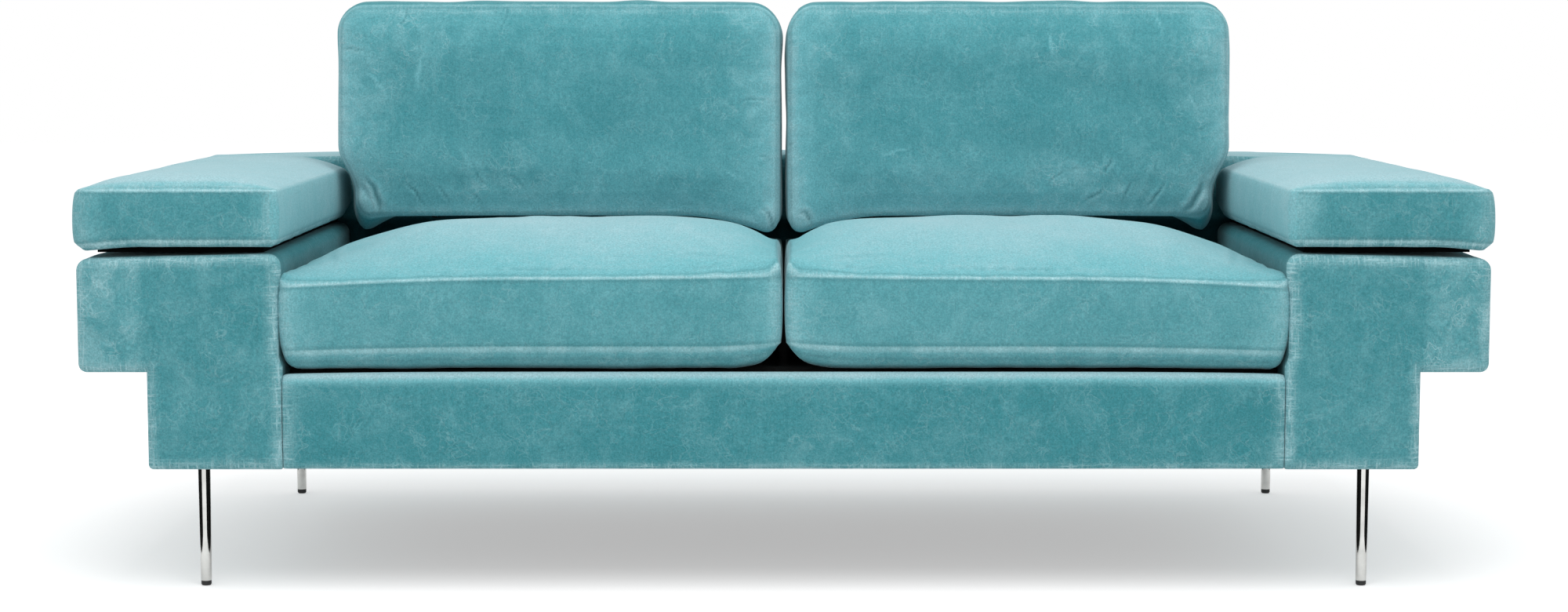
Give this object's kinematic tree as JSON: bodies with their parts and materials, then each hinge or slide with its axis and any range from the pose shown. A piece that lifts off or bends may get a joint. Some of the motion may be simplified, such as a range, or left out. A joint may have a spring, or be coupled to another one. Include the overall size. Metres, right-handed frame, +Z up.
{
  "type": "two-seat sofa",
  "caption": "Two-seat velvet sofa with stepped arms under floating pads, a low back, loose seat and back cushions, and slim metal legs.",
  "frame": {"origin": "on the floor, midway between the arms and midway between the front and the back", "axes": "+X to the right seen from the front, -Y towards the front, +Z up"},
  "size_m": [1.9288, 0.914, 0.8102],
  "materials": {
    "velvet": "teal velvet",
    "plywood": "plain plywood",
    "pine": "planed softwood",
    "painted_wood": "matt black paint",
    "black_cloth": "plain black cloth",
    "plated_steel": "zinc plated",
    "polished_metal": "polished",
    "black_plastic": "moulded"
  },
  "bodies": {
    "frame": {"left_arm_cover": "velvet", "right_arm_cover": "velvet", "back_cover": "velvet", "front_rail_cover": "velvet", "left_arm_pad": "velvet", "right_arm_pad": "velvet", "left_arm_frame": "plywood", "right_arm_frame": "plywood", "left_pad_board": "plywood", "right_pad_board": "plywood", "corner_blocks": "plywood", "back_frame": "pine", "seat_front_rail": "pine", "seat_back_rail": "pine", "left_seat_rail": "pine", "right_seat_rail": "pine", "seat_stretcher": "pine", "left_plinth": "painted_wood", "right_plinth": "painted_wood", "back_webbing": "black_cloth", "seat_deck": "black_cloth", "dust_cover": "black_cloth", "pad_screws": "plated_steel", "seat_springs": "plated_steel", "spring_clips": "plated_steel", "frame_bolts": "plated_steel", "frame_nuts": "plated_steel", "leg_plates": "plated_steel", "plate_screws": "plated_steel", "front_left_leg": "polished_metal", "front_right_leg": "polished_metal", "rear_left_leg": "polished_metal", "rear_right_leg": "polished_metal", "leg_glides": "black_plastic"},
    "left_seat": {"left_seat_cushion": "velvet", "left_seat_zip": "black_cloth"},
    "right_seat": {"right_seat_cushion": "velvet", "right_seat_zip": "black_cloth"},
    "left_back": {"left_back_cushion": "velvet", "left_back_zip": "black_cloth"},
    "right_back": {"right_back_cushion": "velvet", "right_back_zip": "black_cloth"}
  },
  "joints": [
    {"name": "left_seat_slide", "type": "slide", "parent": "frame", "child": "left_seat", "axis": [0, -1, 0], "range_m": [0, 0.7]},
    {"name": "right_seat_slide", "type": "slide", "parent": "frame", "child": "right_seat", "axis": [0, -1, 0], "range_m": [0, 0.7]},
    {"name": "left_back_lift", "type": "slide", "parent": "frame", "child": "left_back", "axis": [0, 0, 1], "range_m": [0, 0.4]},
    {"name": "right_back_lift", "type": "slide", "parent": "frame", "child": "right_back", "axis": [0, 0, 1], "range_m": [0, 0.4]}
  ]
}
